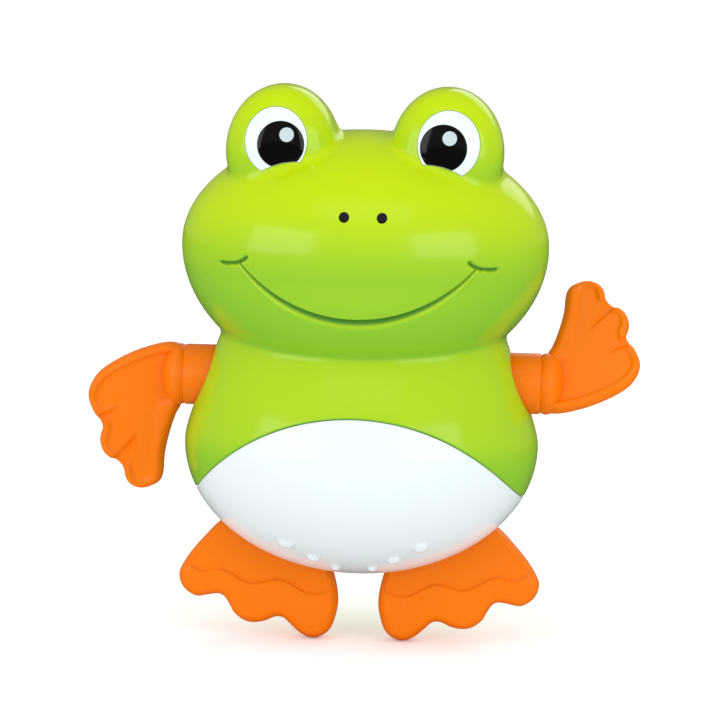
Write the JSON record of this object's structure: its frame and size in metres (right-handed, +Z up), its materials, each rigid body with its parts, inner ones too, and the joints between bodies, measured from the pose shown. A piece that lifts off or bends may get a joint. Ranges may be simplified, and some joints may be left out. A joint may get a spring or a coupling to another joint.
{
  "type": "wind-up swimming frog toy",
  "caption": "Floating wind-up frog with a moulded two-part shell, clockwork that swings both arms on one axle, fixed flippers and a winding knob at the back.",
  "frame": {"origin": "on the standing surface, midway across the hands and midway between the belly and the winding knob", "axes": "+Z up, the frog looks along -Y, +X is the frog's own left"},
  "size_m": [0.1388, 0.077, 0.1398],
  "materials": {
    "shell_green": "glossy lime-green moulded plastic",
    "belly_white": "glossy white moulded plastic",
    "limb_orange": "glossy orange moulded plastic",
    "eye_white": "glossy white with a printed black pupil",
    "gear_plastic": "natural acetal",
    "case_plastic": "pale grey moulded plastic",
    "steel": "bright steel",
    "spring_steel": "blued spring steel",
    "brass": "turned brass",
    "seal_rubber": "soft black rubber"
  },
  "bodies": {
    "body": {"front_shell": "shell_green", "back_shell": "shell_green", "belly_panel": "belly_white", "eye_right": "eye_white", "eye_left": "eye_white", "leg_right": "limb_orange", "leg_left": "limb_orange", "shell_screws": "steel", "bush_right": "gear_plastic", "bush_left": "gear_plastic", "seal_right": "seal_rubber", "seal_left": "seal_rubber", "motor_case_front": "case_plastic", "motor_case_rear": "case_plastic", "motor_screws": "steel", "crown_pin": "steel", "knob_seal": "seal_rubber", "click_pin": "steel", "click_spring": "spring_steel", "governor_pin": "steel"},
    "arms": {"arm_right": "limb_orange", "arm_left": "limb_orange", "arm_axle": "steel", "axle_pinion": "gear_plastic"},
    "crown": {"crown_wheel": "gear_plastic"},
    "barrel": {"barrel_wheel": "gear_plastic", "barrel_lid": "gear_plastic", "mainspring": "spring_steel"},
    "governor": {"governor_rotor": "gear_plastic", "governor_weights": "brass"},
    "winder": {"winding_arbor": "steel", "ratchet_wheel": "gear_plastic", "winding_knob": "limb_orange", "knob_screw": "steel"},
    "click": {"click": "steel"}
  },
  "joints": [
    {"name": "arm_spin", "type": "hinge", "parent": "body", "child": "arms", "pos_m": [0, 0, 0.0664], "axis": [1, 0, 0], "continuous": true},
    {"name": "crown_spin", "type": "hinge", "parent": "body", "child": "crown", "pos_m": [0, 0, 0.0664], "axis": [0, 1, 0], "continuous": true},
    {"name": "barrel_spin", "type": "hinge", "parent": "body", "child": "barrel", "pos_m": [0, 0, 0.049], "axis": [0, 1, 0], "continuous": true},
    {"name": "governor_spin", "type": "hinge", "parent": "body", "child": "governor", "pos_m": [-0.01222, 0, 0.07085], "axis": [0, 1, 0], "continuous": true},
    {"name": "winding_turn", "type": "hinge", "parent": "body", "child": "winder", "pos_m": [0, 0, 0.049], "axis": [0, -1, 0], "continuous": true},
    {"name": "click_lift", "type": "hinge", "parent": "body", "child": "click", "pos_m": [0.0095, 0, 0.0562], "axis": [0, 1, 0], "range_deg": [0, 9], "stiffness_Nm_per_rad": 0.004, "springref_deg": -8.59, "deforming": ["click_spring"]}
  ],
  "couplings": [
    {"joint": "crown_spin", "follows": "arm_spin", "ratio": -0.4},
    {"joint": "barrel_spin", "follows": "arm_spin", "ratio": 0.083333},
    {"joint": "governor_spin", "follows": "arm_spin", "ratio": 2.2}
  ]
}
